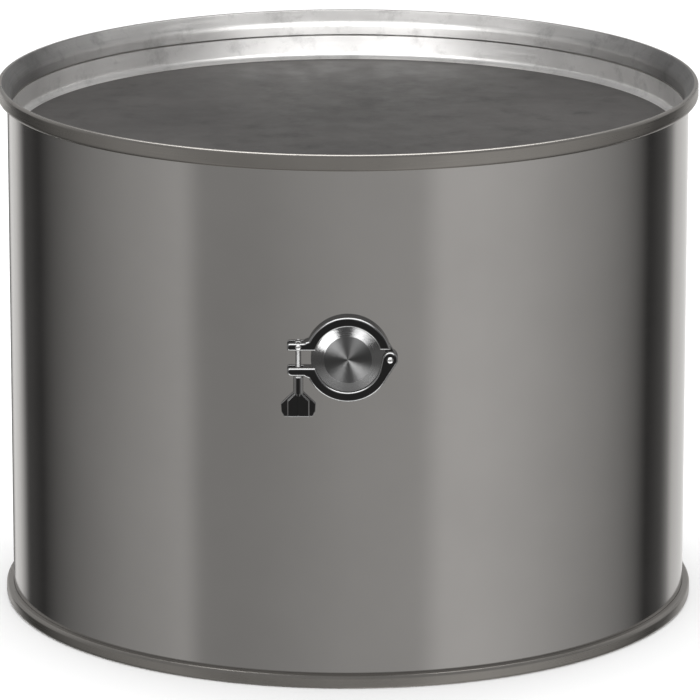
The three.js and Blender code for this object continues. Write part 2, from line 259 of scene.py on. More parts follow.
def plate(name, outline, half, edge=0.0, steps=5):
    """A plate in the clamp's plane, with rounded rims. The outline is anticlockwise in (x, z)."""
    count = len(outline)
    inward = []
    for i in range(count):
        before, here, after = outline[i - 1], outline[i], outline[(i + 1) % count]
        normals = []
        for a, b in ((before, here), (here, after)):
            dx, dz = b[0] - a[0], b[1] - a[1]
            length = math.hypot(dx, dz) or 1
            normals.append(Vector((-dz / length, dx / length)))
        mean = (normals[0] + normals[1]).normalized()
        inward.append(mean / max(0.5, mean.dot(normals[0])))
    levels = [(0.0, half - edge)]
    if edge:
        levels = [
            (edge * (1 - math.cos(a)), half - edge + edge * math.sin(a))
            for a in (math.pi / 2 * k / steps for k in range(steps + 1))
        ]
    loops = [(inset, -depth) for inset, depth in reversed(levels)] + levels
    verts = []
    for inset, depth in loops:
        for (x, z), n in zip(outline, inward):
            verts.append((x + n.x * inset, -JOINT_S - depth, z + n.y * inset + PORT_Z))
    faces = [tuple(range(count)), tuple(range(len(verts) - count, len(verts)))]
    for k in range(len(loops) - 1):
        for i in range(count):
            j = (i + 1) % count
            faces.append((k * count + i, k * count + j, (k + 1) * count + j, (k + 1) * count + i))
    return make_object(name, verts, faces)


def disc_plate(name, x, z, r, half, edge=0.0, sides=SMALL_SEGS):
    """A round plate in the clamp's plane."""
    return plate(name, arc(x, z, r, 0, 360 - 360 / sides, sides - 1), half, edge)


# ---- materials ----
def link(tree, source, target):
    tree.links.new(source, target)


def new_node(tree, kind, **settings):
    made = tree.nodes.new(kind)
    for key, value in settings.items():
        setattr(made, key, value)
    return made


def noise(tree, vector, scale, detail=3.0, rough=0.5):
    made = new_node(tree, "ShaderNodeTexNoise")
    made.inputs["Scale"].default_value = scale
    made.inputs["Detail"].default_value = detail
    made.inputs["Roughness"].default_value = rough
    link(tree, vector, made.inputs["Vector"])
    return made.outputs["Fac"]


def remap(tree, value, low, high, to_low, to_high, shape="LINEAR"):
    """A value moved from one range to another, held at its ends."""
    made = new_node(tree, "ShaderNodeMapRange", interpolation_type=shape)
    for key, number in zip(("From Min", "From Max", "To Min", "To Max"), (low, high, to_low, to_high)):
        made.inputs[key].default_value = number
    link(tree, value, made.inputs["Value"])
    return made.outputs["Result"]


def maths(tree, operation, a, b=None):
    made = new_node(tree, "ShaderNodeMath", operation=operation)
    for socket, value in zip(made.inputs, (a, b)):
        if isinstance(value, (int, float)):
            socket.default_value = value
        elif value is not None:
            link(tree, value, socket)
    return made.outputs[0]


def scaled(tree, vector, factor):
    """A colour or vector times a number."""
    made = new_node(tree, "ShaderNodeVectorMath", operation="SCALE")
    link(tree, vector, made.inputs[0])
    link(tree, factor, made.inputs["Scale"])
    return made.outputs["Vector"]


def mixed(tree, factor, a, b=None):
    """Blends two colours by a factor. Without a second colour it is white."""
    made = new_node(tree, "ShaderNodeMix", data_type="RGBA")
    link(tree, factor, made.inputs["Factor"])
    link(tree, a, made.inputs["A"])
    if b is None:
        made.inputs["B"].default_value = (1, 1, 1, 1)
    else:
        link(tree, b, made.inputs["B"])
    return made.outputs["Result"]


def axis_distance(tree, coords):
    """Distance from the port's axis, in metres."""
    mapping = new_node(tree, "ShaderNodeMapping")
    link(tree, coords, mapping.inputs["Vector"])
    mapping.inputs["Location"].default_value = (0, 0, -PORT_Z * MM)
    mapping.inputs["Scale"].default_value = (1, 0, 1)
    length = new_node(tree, "ShaderNodeVectorMath", operation="LENGTH")
    link(tree, mapping.outputs["Vector"], length.inputs[0])
    return length.outputs["Value"]


def lines_along(tree, coords, grain):
    """Coordinates whose noise runs in lines: round the drum, round the port, or evenly."""
    if grain == "rings":
        made = new_node(tree, "ShaderNodeCombineXYZ")
        link(tree, maths(tree, "MULTIPLY", axis_distance(tree, coords), 60.0), made.inputs["X"])
        return made.outputs["Vector"]
    if grain == "even":
        return coords
    mapping = new_node(tree, "ShaderNodeMapping")
    link(tree, coords, mapping.inputs["Vector"])
    mapping.inputs["Scale"].default_value = (1.0, 1.0, 90.0)
    return mapping.outputs["Vector"]


# Noise reads from about 0.3 to 0.7, and stains cover its upper end.
NOISE_LOW, NOISE_HIGH = 0.3, 0.7
STAIN_FROM, STAIN_FULL = 0.52, 0.7
RIM_FADE = 0.2


def steel(name, base, rough, spread=0.05, grain="around", line_scale=14.0, bump=0.05, cloud=7.0, tint=0.05,
          wave=0.0, metallic=1.0, anisotropy=0.0, spots=0.0, rim=None, turn_tone=None):
    """Metal, or rubber, with clouded colour and lined roughness and bump. Optional are long waves, stains,
    a rim round the port (radius, roughness, tone), and painted light and shade by facing: a tone for faces
    that are turned from the port's axis (tone, and the shares of the axis between which it comes back to 1)."""
    made = bpy.data.materials.new(name)
    made.use_nodes = True
    tree = made.node_tree
    shader = tree.nodes["Principled BSDF"]
    shader.inputs["Metallic"].default_value = metallic
    coords = new_node(tree, "ShaderNodeTexCoord").outputs["Object"]
    clouds = noise(tree, coords, cloud, detail=5.0, rough=0.6)
    ramp = new_node(tree, "ShaderNodeValToRGB")
    darker, lighter = ramp.color_ramp.elements
    darker.position, lighter.position = NOISE_LOW, NOISE_HIGH
    darker.color = (*[c * (1 - tint) for c in base], 1)
    lighter.color = (*[min(1, c * (1 + tint)) for c in base], 1)
    link(tree, clouds, ramp.inputs["Fac"])
    colour = ramp.outputs["Color"]
    if spots:
        stain = noise(tree, coords, cloud * 5, detail=6.0, rough=0.7)
        colour = scaled(tree, colour, remap(tree, stain, STAIN_FROM, STAIN_FULL, 1.0, 1.0 - spots))
    # Painted light and shade: the colour is scaled by which way a face looks, by the tone on faces turned
    # from the port's axis and not at all on faces that look along it.
    if turn_tone:
        tone, turned_away, facing_port = turn_tone
        facing = new_node(tree, "ShaderNodeSeparateXYZ")
        link(tree, new_node(tree, "ShaderNodeTexCoord").outputs["Normal"], facing.inputs[0])
        share = maths(tree, "ABSOLUTE", facing.outputs["Y"])
        colour = scaled(tree, colour, remap(tree, share, turned_away, facing_port, tone, 1.0))
    if rim:
        rim_r, rim_rough, rim_tone = rim
        distance = axis_distance(tree, coords)
        edge = (rim_r - RIM_FADE) * MM, (rim_r + RIM_FADE) * MM
        colour = scaled(tree, colour, remap(tree, distance, *edge, 1.0, rim_tone))
    link(tree, colour, shader.inputs["Base Color"])
    lines = noise(tree, lines_along(tree, coords, grain), line_scale, detail=4.0, rough=0.6)
    blotch = remap(tree, clouds, NOISE_LOW, NOISE_HIGH, -spread * 0.5, spread * 0.5)
    lined = remap(tree, lines, NOISE_LOW, NOISE_HIGH, rough - spread, rough + spread)
    finish = maths(tree, "ADD", lined, blotch)
    if rim:
        finish = maths(tree, "MULTIPLY", finish, remap(tree, distance, *edge, 1.0, rim_rough / rough))
    link(tree, finish, shader.inputs["Roughness"])
    shader.inputs["Anisotropic"].default_value = anisotropy
    if anisotropy:
        shader.inputs["Anisotropic Rotation"].default_value = 0.25
        tangent = new_node(tree, "ShaderNodeTangent", direction_type="RADIAL", axis="Y")
        link(tree, tangent.outputs["Tangent"], shader.inputs["Tangent"])
    relief = new_node(tree, "ShaderNodeBump")
    relief.inputs["Strength"].default_value = bump
    relief.inputs["Distance"].default_value = 0.0002
    link(tree, lines, relief.inputs["Height"])
    if wave:
        swell = new_node(tree, "ShaderNodeBump")
        swell.inputs["Strength"].default_value = wave
        swell.inputs["Distance"].default_value = 0.01
        link(tree, noise(tree, coords, 4.0, detail=1.0), swell.inputs["Height"])
        link(tree, swell.outputs["Normal"], relief.inputs["Normal"])
    link(tree, relief.outputs["Normal"], shader.inputs["Normal"])
    return made


SATIN = steel("satin_steel", (0.6, 0.585, 0.57), 0.13, spread=0.02, wave=0.02, tint=0.03, bump=0.03)
CHIME = steel("chime_steel", (0.42, 0.4, 0.375), 0.3, tint=0.08)
# The skirt's faces that look sideways are painted down to a third of their colour: painted shade on the left
# and right inner walls, with the back and front walls left at full colour.
SKIRT = steel("pickled_skirt", (0.62, 0.61, 0.6), 0.46, spread=0.08, tint=0.16, metallic=0.96, spots=0.26,
              turn_tone=(0.33, 0.3, 0.8))
FLANGE = steel("pickled_flange", (0.76, 0.75, 0.74), 0.43, spread=0.06, tint=0.1, metallic=0.96, spots=0.22)
PANEL = steel("dark_panel", (0.06, 0.057, 0.055), 0.6, spread=0.06, grain="even", line_scale=30.0, bump=0.15,
              cloud=5.0, tint=0.2, metallic=0.1, spots=0.3)
PANEL.node_tree.nodes["Principled BSDF"].inputs["Specular IOR Level"].default_value = 0.2
WELD = steel("weld_bead", (0.48, 0.46, 0.44), 0.36, spread=0.08, grain="even", line_scale=300.0, bump=0.2,
             cloud=40.0, tint=0.14)
# The casting's faces turned from the port's axis are painted up to thirteen times lighter than the near-black
# faces that look along it: a painted highlight on its sides, ear tops and rounded edges.
CAST = steel("polished_casting", (0.04, 0.04, 0.04), 0.14, spread=0.03, grain="even", line_scale=160.0,
             bump=0.06, cloud=40.0, turn_tone=(13.0, 0.72, 0.97))
CAST.node_tree.nodes["Principled BSDF"].inputs["Specular Tint"].default_value = (0.5, 0.5, 0.5, 1)
TURNED = steel("turned_steel", (0.08, 0.08, 0.08), 0.44, grain="rings", line_scale=40.0, bump=0.1, cloud=30.0,
               tint=0.03, anisotropy=1.0, rim=(CAP_FACE_R, 0.26, 1.8))
WIRE = steel("drawn_wire", (0.5, 0.49, 0.48), 0.4)
BOLT = steel("bolt_steel", (0.35, 0.35, 0.35), 0.18, spread=0.04, grain="even", line_scale=300.0, bump=0.08,
             cloud=60.0, tint=0.06)
PIN = steel("pin_steel", (0.45, 0.45, 0.45), 0.25, spread=0.04, grain="even", line_scale=300.0, bump=0.06,
            cloud=60.0)
GASKET = steel("gasket_rubber", (0.03, 0.03, 0.032), 0.55, spread=0.08, grain="even", line_scale=400.0,
               bump=0.2, cloud=60.0, tint=0.04, metallic=0.0)


# ---- drum ----
def drum_part(name, profile, material, node):
    """A finished piece turned about the drum's axis."""
    piece(turned(name, profile, around_drum, DRUM_SEGS), "vessel", material, [node])


inner_r = HEAD_R - SHEET
wall_in = BODY_R - SHEET
wall_profile = [(wall_in, WALL_LOW), (BODY_R, WALL_LOW), (BODY_R, WALL_TOP), (wall_in, WALL_TOP)]
shell = turned("drum_wall", wall_profile, around_drum, DRUM_SEGS)
HOLE_FROM, HOLE_TO = 300, 400
hole_r = TUBE_R + LAP
hole_profile = [(0, HOLE_FROM), (hole_r, HOLE_FROM), (hole_r, HOLE_TO), (0, HOLE_TO)]
combine(shell, "DIFFERENCE", turned("hole", hole_profile, around_port, 96))
piece(shell, "vessel", SATIN, ["shell"])

crest_x, crest_z = RIM_R - CREST_R, HEIGHT - CREST_R
crest_in = CREST_R - CHIME_SHEET
curl_x, curl_low = RIM_R - CURL_R, HEIGHT - ROLL_DROP
curl_z = curl_low + CURL_R
lap_r = BODY_R + LAP


def flare_foot(r, arc_r):
    """Where the flared skirt, which leaves the crest's arc at a tangent, comes down to a radius."""
    a = math.radians(FLARE_ANGLE)
    return crest_z + arc_r * math.sin(a) + (crest_x + arc_r * math.cos(a) - r) / math.tan(a)


roll_profile = [
    *arc(crest_x, crest_z, crest_in, SPLIT_ANGLE, 0, 8),
    *arc(curl_x, curl_z, CURL_R - CHIME_SHEET, 0, -90, 6),
    (lap_r, curl_low + CHIME_SHEET), (lap_r, curl_low),
    *arc(curl_x, curl_z, CURL_R, -90, 0, 9),
    *arc(crest_x, crest_z, CREST_R, 0, SPLIT_ANGLE, 14),
]
drum_part("rim_roll", roll_profile, CHIME, "top_chime")

# The flare bends into the upright skirt along a curve, not at a corner.
bend_z, flare_slope = flare_foot(inner_r, CREST_R), -1 / math.tan(math.radians(FLARE_ANGLE))
bend = []
for step in range(FLARE_STEPS + 1):
    t = step / FLARE_STEPS
    above, below = (1 - t) ** 2, t ** 2
    rise = FLARE_RUN * flare_slope * above - FLARE_DROP * below
    bend.append((inner_r + FLARE_RUN * above, bend_z + rise))
skirt_profile = [
    (inner_r, SKIRT_LOW), (HEAD_R, SKIRT_LOW), (HEAD_R, flare_foot(HEAD_R, crest_in)),
    *arc(crest_x, crest_z, crest_in, FLARE_ANGLE, SPLIT_ANGLE, 5),
    *arc(crest_x, crest_z, CREST_R, SPLIT_ANGLE, FLARE_ANGLE, 6),
    *bend,
]
drum_part("rim_skirt", skirt_profile, SKIRT, "top_chime")

foot_low_x, foot_top_x, foot_top_z = FOOT_R - FOOT_LOW_R, FOOT_R - FOOT_TOP_R, FOOT_H - FOOT_TOP_R
foot_profile = [
    (HEAD_R, 0),
    *arc(foot_low_x, FOOT_LOW_R, FOOT_LOW_R, -90, 0, 8),
    *arc(foot_top_x, foot_top_z, FOOT_TOP_R, 0, 90, 9),
    (lap_r, FOOT_H), (lap_r, FOOT_H - FOOT_SHEET),
    *arc(foot_top_x, foot_top_z, FOOT_TOP_R - FOOT_SHEET, 90, 0, 6),
    *arc(foot_low_x, FOOT_LOW_R, FOOT_LOW_R - FOOT_SHEET, 0, -90, 6),
    (HEAD_R, FOOT_SHEET),
]
drum_part("foot_band", foot_profile, CHIME, "bottom_chime")

for node, name in (("top_chime_wire", "top_wire"), ("bottom_chime_wire", "bottom_wire")):
    low, high = size_of(node)
    wire_r = (high.z - low.z) / 2
    section = arc(high.x - wire_r, (low.z + high.z) / 2, wire_r, 0, 345, 23)
    drum_part(name, section, WIRE, node)

panel_r, panel_low = inner_r - PAN_KNUCKLE, PANEL_Z - SHEET
panel_profile = [(0, panel_low), (panel_r, panel_low), (panel_r, PANEL_Z), (0, PANEL_Z)]
drum_part("top_panel", panel_profile, PANEL, "top_head")
flange_profile = [
    (panel_r, panel_low),
    *arc(panel_r, PANEL_Z + PAN_KNUCKLE, PAN_KNUCKLE + SHEET, -85, 0, 10),
    (HEAD_R, HEAD_TOP), (inner_r, HEAD_TOP),
    *arc(panel_r, PANEL_Z + PAN_KNUCKLE, PAN_KNUCKLE, 0, -90, 10),
]
drum_part("top_flange", flange_profile, FLANGE, "top_head")

bottom_x, bottom_z = HEAD_R - BOTTOM_KNUCKLE, BOTTOM_Z + BOTTOM_KNUCKLE
bottom_profile = [
    (0, BOTTOM_Z),
    *arc(bottom_x, bottom_z, BOTTOM_KNUCKLE, -90, 0, 10),
    (HEAD_R, BOTTOM_TOP), (inner_r, BOTTOM_TOP),
    *arc(bottom_x, bottom_z, BOTTOM_KNUCKLE - SHEET, 0, -90, 10),
    (0, BOTTOM_Z + SHEET),
]
drum_part("bottom_pan", bottom_profile, SATIN, "bottom_head")


def rippled_ring(name, profile, pitch, depth, node):
    """A weld bead round the drum: its skin rises and falls as the arc moved along."""
    ripples = round(2 * math.pi * profile[0][0] / pitch)
    mean_r = sum(r for r, _ in profile) / len(profile)
    mean_h = sum(h for _, h in profile) / len(profile)
    verts = []
    for i in range(WELD_SEGS):
        a = 2 * math.pi * i / WELD_SEGS
        swell = 1 - depth * (0.5 + 0.5 * math.cos(a * ripples))
        for r, h in profile:
            verts.append(around_drum(mean_r + (r - mean_r) * swell, mean_h + (h - mean_h) * swell, a))
    made = make_object(name, verts, ring_faces(WELD_SEGS, len(profile)))
    piece(made, "vessel", WELD, [node])


# The line between pan and skirt is a flat strip, a little narrower at its face.
top_low, top_high = size_of("top_head_weld")
mid, face_r = (top_low.z + top_high.z) / 2, inner_r + 0.5
seam_section = [(face_r, mid - 0.45), (HEAD_R, mid - 0.6), (HEAD_R, mid + 0.6), (face_r, mid + 0.45)]
rippled_ring("top_weld", seam_section, 6.0, 0.15, "top_head_weld")
# The weld under the bottom pan fills the corner inside the foot band.
foot_section = [
    (HEAD_R + back, z)
    for back, z in ((-3.6, 3.4), (-2.4, 2.2), (-1, 1.8), (0, 1.8), (0, 8.6), (-2.3, 6.2))
]
rippled_ring("bottom_weld", foot_section, 7.0, 0.12, "bottom_head_weld")


def wall_seam(rows=900, ripple_pitch=4.0):
    """The upright weld at the back of the wall: a low crown of crescent ripples, closed inside the sheet."""
    low, high = size_of("shell_seam_weld")
    half_w = (high.x - low.x) / 2 * 1.25
    heights = [low.z + (high.z - low.z) * k / rows for k in range(rows + 1)]
    across = (-1, -0.7, -0.35, 0, 0.35, 0.7, 1)
    cols = len(across)
    verts, faces = [], []
    for z in heights:
        for u in across:
            ripple = 0.16 * (0.5 + 0.5 * math.cos(2 * math.pi * (z + 3 * u * u) / ripple_pitch))
            crown = (0.35 + ripple) * (1 - u * u)
            verts.append((half_w * u, BODY_R - 0.05 + crown, z))
    base = len(verts)
    for z in heights:
        verts += [(-half_w, BODY_R - 0.6, z), (half_w, BODY_R - 0.6, z)]
    for k in range(rows):
        for j in range(cols - 1):
            faces.append((k * cols + j, k * cols + j + 1, (k + 1) * cols + j + 1, (k + 1) * cols + j))
        b = base + 2 * k
        faces.append((b, b + 1, b + 3, b + 2))
        faces.append((k * cols, (k + 1) * cols, b + 2, b))
        faces.append((k * cols + cols - 1, (k + 1) * cols + cols - 1, b + 3, b + 1))
    for k, b in ((0, base), (rows, base + 2 * rows)):
        faces.append((*[k * cols + j for j in range(cols)], b + 1, b))
    return make_object("wall_seam", verts, faces)


piece(wall_seam(), "vessel", WELD, ["shell_seam_weld"])


# ---- port ----
def port_part(name, profile, material, node):
    """A finished piece turned about the port's axis."""
    piece(turned(name, profile, around_port), "vessel", material, [node])


# The stub starts inside the wall and turns out into its flange at the neck.
STUB_START, NECK_S, FLANGE_TURN_R, EDGE_R = 371, 396, 4, 0.5
flange_back = FERRULE_FACE - FLANGE_EDGE
ferrule_profile = [
    (TUBE_BORE_R, STUB_START), (TUBE_R, STUB_START), (TUBE_R, NECK_S),
    *arc(TUBE_R + FLANGE_TURN_R, NECK_S, FLANGE_TURN_R, 180, 115, 6),
    (FLANGE_R - EDGE_R, flange_back - 0.2),
    *arc(FLANGE_R - EDGE_R, flange_back + 0.35, EDGE_R, -60, 0, 4),
    *arc(FLANGE_R - EDGE_R, FERRULE_FACE - EDGE_R, EDGE_R, 0, 90, 4),
    (TUBE_BORE_R, FERRULE_FACE),
]
port_part("ferrule", ferrule_profile, TURNED, "port_ferrule")


def port_bead(segs=720, ripples=96, steps=10):
    """The fillet weld round the stub: a rippled hollow that follows the wall's curve."""
    foot, rise, hollow, seat = 3.7, 3.3, 1.15, 0.02
    verts = []
    for i in range(segs):
        a = 2 * math.pi * i / segs
        swell = 0.25 * (0.5 + 0.5 * math.cos(ripples * a))
        section = []
        for t in (math.pi / 2 * j / steps for j in range(steps + 1)):
            r = hole_r + (foot + swell) * (1 - math.sin(t)) ** hollow
            section.append((r, (rise + swell) * (1 - math.cos(t)) ** hollow + 0.15))
        for r, lift in section + [(hole_r, seat), (hole_r + foot, seat)]:
            wall = math.sqrt(BODY_R ** 2 - (r * math.cos(a)) ** 2)
            verts.append(around_port(r, wall + 0.05 + lift, a))
    return make_object("port_bead", verts, ring_faces(segs, steps + 3))


piece(port_bead(), "vessel", WELD, ["port_weld"])

gasket_in, gasket_half = TUBE_BORE_R + 0.2, (GASKET_HIGH.y - GASKET_LOW.y) / 2
gasket_profile = [
    (gasket_in, JOINT_S - gasket_half),
    *arc(GASKET_HIGH.x - gasket_half, JOINT_S, gasket_half, -90, 90, 10),
    (gasket_in, JOINT_S + gasket_half),
]
port_part("gasket", gasket_profile, GASKET, "port_gasket")

# The cap's face has a fine chamfer and a turned centre mark.
BACK_EDGE_R = 0.4
cap_profile = [
    (0, CAP_FACE), (FLANGE_R - BACK_EDGE_R, CAP_FACE),
    *arc(FLANGE_R - BACK_EDGE_R, CAP_FACE + BACK_EDGE_R, BACK_EDGE_R, -90, 0, 4)[1:],
    *arc(FLANGE_R - EDGE_R, CAP_FACE + FLANGE_EDGE - 0.3, EDGE_R, 0, 70, 4),
    (CAP_FACE_R + 0.35, CAP_FRONT - 0.12), (CAP_FACE_R, CAP_FRONT - 0.02), (CAP_FACE_R - 0.4, CAP_FRONT),
    (1.2, CAP_FRONT), (0.8, CAP_FRONT - 0.25), (0, CAP_FRONT - 0.3),
]
port_part("end_cap", cap_profile, TURNED, "port_cap")


# ---- clamp ----
def lip_depth(r):
    """Half width of the sloped groove at a radius, with its clearance on the two flanges."""
    return (CAP_FACE - JOINT_S) + FLANGE_EDGE + 0.36 + (FLANGE_R - r) * SLOPE


def groove():
    """The space inside the clamp ring, with rounded lips."""
    mouth_z = CLAMP_HALF - 2.2
    front = [
        (GROOVE_R, lip_depth(GROOVE_R)), (LIP_R + 0.5, lip_depth(LIP_R + 0.5)),
        *arc(LIP_R + 0.5, lip_depth(LIP_R) + 0.4, 0.5, -100, -180, 4),
        *arc(LIP_R + 2.2, mouth_z, 2.2, 180, 92, 8), (LIP_R + 4, CLAMP_HALF + 2), (0, CLAMP_HALF + 2),
    ]
    back = [(r, -s) for r, s in reversed(front)]
    return turned("groove", [(r, JOINT_S + s) for r, s in back + front], around_port, 192)


def ear_slot(low, high):
    """What is cut from an ear for the bolt: a slot, open at the ear's end."""
    outline = [(SLOT_MOUTH_X, low), (SLOT_END_X, low), (SLOT_END_X, high), (SLOT_MOUTH_X, high)]
    return plate("slot", outline, SLOT_HALF)


def finish_jaw(jaw, node):
    """Rounds a jaw off and hangs it on the body of its own name."""
    cast(jaw, voxel=0.3, passes=10, keep=0.35)
    piece(jaw, jaw.name, CAST, [node], sharp=60)


# Where the ring's outside meets the hinge's lug, in degrees round both.
tangent = math.degrees(math.acos((CLAMP_R - LUG_R) / HINGE_X))
upper_end = 10.5
low, high = EAR_UPPER
upper_outline = [
    (EAR_ROOT_X, low),
    *arc(EAR_X + CORNER_R, low + CORNER_R, CORNER_R, 270, 180, 5),
    *arc(EAR_X + CORNER_R, high - CORNER_R, CORNER_R, 180, 90, 5),
    *arc(-46.6, high + FILLET_R, FILLET_R, 270, 325, 4),
    *arc(0, 0, CLAMP_R, 154, math.degrees(math.asin(upper_end / CLAMP_R)), 60),
    (10, upper_end),
][::-1]
upper = plate("upper_jaw", upper_outline, CLAMP_HALF, SOFT_EDGE, 6)
tongue_outline = [
    (36, 16), (36, -8),
    *arc(HINGE_X, 0, LUG_R - 0.6, -110, tangent, 16),
    *arc(0, 0, CLAMP_R - 0.5, tangent, tangent + 8, 3),
]
tongue = plate("tongue", tongue_outline, TONGUE_HALF, 0.7, 3)
combine(upper, "UNION", tongue)
# The tongue is cut back to clear the flanges while the jaw swings open.
sweeps = []
for a in (OPEN_ANGLE * 0.5, OPEN_ANGLE):
    x, z = HINGE_X * (1 - math.cos(a)), -HINGE_X * math.sin(a)
    sweeps.append(disc_plate("sweep", x, z, GROOVE_R, TONGUE_HALF + 0.4, sides=160))
combine(upper, "DIFFERENCE", groove(), *sweeps)
combine(upper, "DIFFERENCE", ear_slot(0, 30))
finish_jaw(upper, "clamp_upper_jaw")

low, high = EAR_LOWER
lower_outline = [
    (EAR_ROOT_X, high),
    *arc(EAR_X + CORNER_R, high - CORNER_R, CORNER_R, 90, 180, 5),
    *arc(EAR_X + EAR_ROUND_R, low + EAR_ROUND_R, EAR_ROUND_R, 180, 270, 10),
    *arc(-46.4, low - FILLET_R, FILLET_R, 90, 35, 4),
    *arc(0, 0, CLAMP_R, 206, 360 - tangent, 60),
    *arc(HINGE_X, 0, LUG_R, -tangent, 180, 28),
    (34, -8), (10, high),
]
lower = plate("lower_jaw", lower_outline, CLAMP_HALF, SOFT_EDGE, 6)
gap_outline = [*arc(HINGE_X, 0, LUG_R + 0.3, -175, 30, 24), (60, 20), (20, 20), (20, 0)]
fork_gap = plate("fork_gap", gap_outline, FORK_HALF)
combine(lower, "DIFFERENCE", groove())
combine(lower, "DIFFERENCE", fork_gap, ear_slot(-30, 0))
finish_jaw(lower, "clamp_lower_jaw")


def rivet(name, node, body, x, z, shaft_r, head_r):
    """A pin with a domed head at each end, just clear of the clamp's faces."""
    low, high = size_of(node)
    end = (high.y - low.y) / 2
    face = CLAMP_HALF + 0.3
    edge = face + 0.35
    dome = [(shaft_r, face), (head_r - 0.3, face), (head_r, edge)]
    for t in (math.pi / 2 * k / 10 for k in range(1, 10)):
        dome.append((head_r * math.cos(t), edge + (end - edge) * math.sin(t)))
    dome.append((0, end))
    profile = [(r, JOINT_S - s) for r, s in reversed(dome)] + [(r, JOINT_S + s) for r, s in dome]
    made = turned(name, profile, around_port, 48)
    made.data.transform(Matrix.Translation((x, 0, z)))
    piece(made, body, PIN, [node], sharp=50)


rivet("hinge_rivet", "hinge_pin", "lower_jaw", HINGE_X, 0, 2.3, 3.5)
rivet("bolt_rivet", "bolt_pin", "upper_jaw", BOLT_X, BOLT_PIN_Z, 2.0, 3.2)


# ---- swing bolt and wing nut, about the bolt's own axis ----
def around_bolt(r, z, a):
    """A point by radius, height from the port's axis and angle, about the bolt's axis."""
    return (BOLT_X + r * math.cos(a), -JOINT_S + r * math.sin(a), PORT_Z + z)


def threaded_rod(name, low, high, r, sides=32, per_turn=8):
    """A rod with a helical ridge that runs out at both ends."""
    rows = round((high - low) / THREAD_PITCH * per_turn)
    verts, faces = [around_bolt(0, low, 0)], []
    for k in range(rows + 1):
        z = low + (high - low) * k / rows
        full = min(1.0, (z - low) / THREAD_RUNOUT, (high - z) / THREAD_RUNOUT)
        for i in range(sides):
            phase = (z / THREAD_PITCH + i / sides) % 1.0
            ridge = min(1, 1.25 * abs(2 * phase - 1))
            verts.append(around_bolt(r - THREAD_DEPTH * (1 - full * ridge), z, 2 * math.pi * i / sides))
    verts.append(around_bolt(0, high, 0))
    last = len(verts) - 1
    for i in range(sides):
        j = (i + 1) % sides
        faces.append((0, 1 + i, 1 + j))
        faces.append((last, last - sides + i, last - sides + j))
        for k in range(rows):
            a = 1 + k * sides
            faces.append((a + i, a + j, a + sides + j, a + sides + i))
    return make_object(name, verts, faces)


bolt = threaded_rod("eye_bolt", BOLT_END, BOLT_PIN_Z - 3.0, BOLT_R)
combine(bolt, "UNION", disc_plate("eye", BOLT_X, BOLT_PIN_Z, EYE_R, EYE_HALF, 0.8))
combine(bolt, "DIFFERENCE", disc_plate("eye_hole", BOLT_X, BOLT_PIN_Z, EYE_HOLE_R, 12))
piece(bolt, "bolt", BOLT, ["swing_bolt"], sharp=40)

bore_r, washer_edge = BOLT_R + BORE_GAP, 0.25
washer_profile = [
    (bore_r, WASHER_LOW),
    *arc(WASHER_R - washer_edge, WASHER_LOW + washer_edge, washer_edge, -90, 0, 3),
    *arc(WASHER_R - washer_edge, WASHER_TOP - washer_edge, washer_edge, 0, 90, 3),
    (bore_r, WASHER_TOP),
]
washer = turned("thrust_washer", washer_profile, around_bolt, SMALL_SEGS)
piece(washer, "washer", BOLT, ["nut_washer"])

# Left halves of the wings and of the raised boss on them, as (x from the bolt, height).
shoulder = NUT_TOP - NECK_H
wing_side = [
    (-NECK_R, shoulder), (-WING_HALF, shoulder - 12.6), (-WING_HALF + 0.5, NUT_LOW + 5.6), (-15, NUT_LOW),
]
boss_side = [(-3.0, shoulder - 0.6), (-11.3, shoulder - 9.2), (-11.3, NUT_LOW)]


def both_sides(left):
    """A symmetrical outline about the bolt, from its left half."""
    return [(x + BOLT_X, z) for x, z in left + [(-x, z) for x, z in reversed(left)]]


nut = plate("wing_nut_body", both_sides(wing_side), 2.3, 0.8, 3)
boss = plate("boss", both_sides(boss_side), 4.5, 1.3, 4)
waist_r = NECK_R - 0.6
neck_profile = [
    (0, NUT_LOW + 1.2), (NECK_R - 1.4, NUT_LOW + 1.2), (waist_r, NUT_LOW + 2.0), (waist_r, shoulder - 5),
    (NECK_R, shoulder - 1), (NECK_R, NUT_TOP - 0.6), (waist_r, NUT_TOP), (0, NUT_TOP),
]
combine(nut, "UNION", boss, turned("neck", neck_profile, around_bolt, SMALL_SEGS))
bore_profile = [(0, BOLT_END - 2), (bore_r, BOLT_END - 2), (bore_r, NUT_TOP + 5), (0, NUT_TOP + 5)]
combine(nut, "DIFFERENCE", turned("bore", bore_profile, around_bolt, SMALL_SEGS))
cast(nut, voxel=0.22, passes=7, keep=0.35)
piece(nut, "nut", CAST, ["wing_nut"], sharp=60)

# ---- stage ----
FLOOR_SIZE, FLOOR_TONE = 40, (0.93, 0.93, 0.93, 1)
bpy.ops.mesh.primitive_plane_add(size=FLOOR_SIZE, location=(0, 0, CAD_LOW.z))
floor = bpy.context.active_object
floor.name = "floor"
pale = bpy.data.materials.new("pale_floor")
pale.use_nodes = True
pale.node_tree.nodes["Principled BSDF"].inputs["Base Color"].default_value = FLOOR_TONE
pale.node_tree.nodes["Principled BSDF"].inputs["Roughness"].default_value = 0.9
floor.data.materials.append(pale)
# The steel mirrors the studio and not the floor, and light from below passes the floor.
floor.visible_glossy = floor.visible_shadow = False
floor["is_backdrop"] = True


def srgb(grey):
    """The light that a grey level from 0 to 255 stands for."""
    c = grey / 255
    return c / 12.92 if c <= 0.04045 else ((c + 0.055) / 1.055) ** 2.4


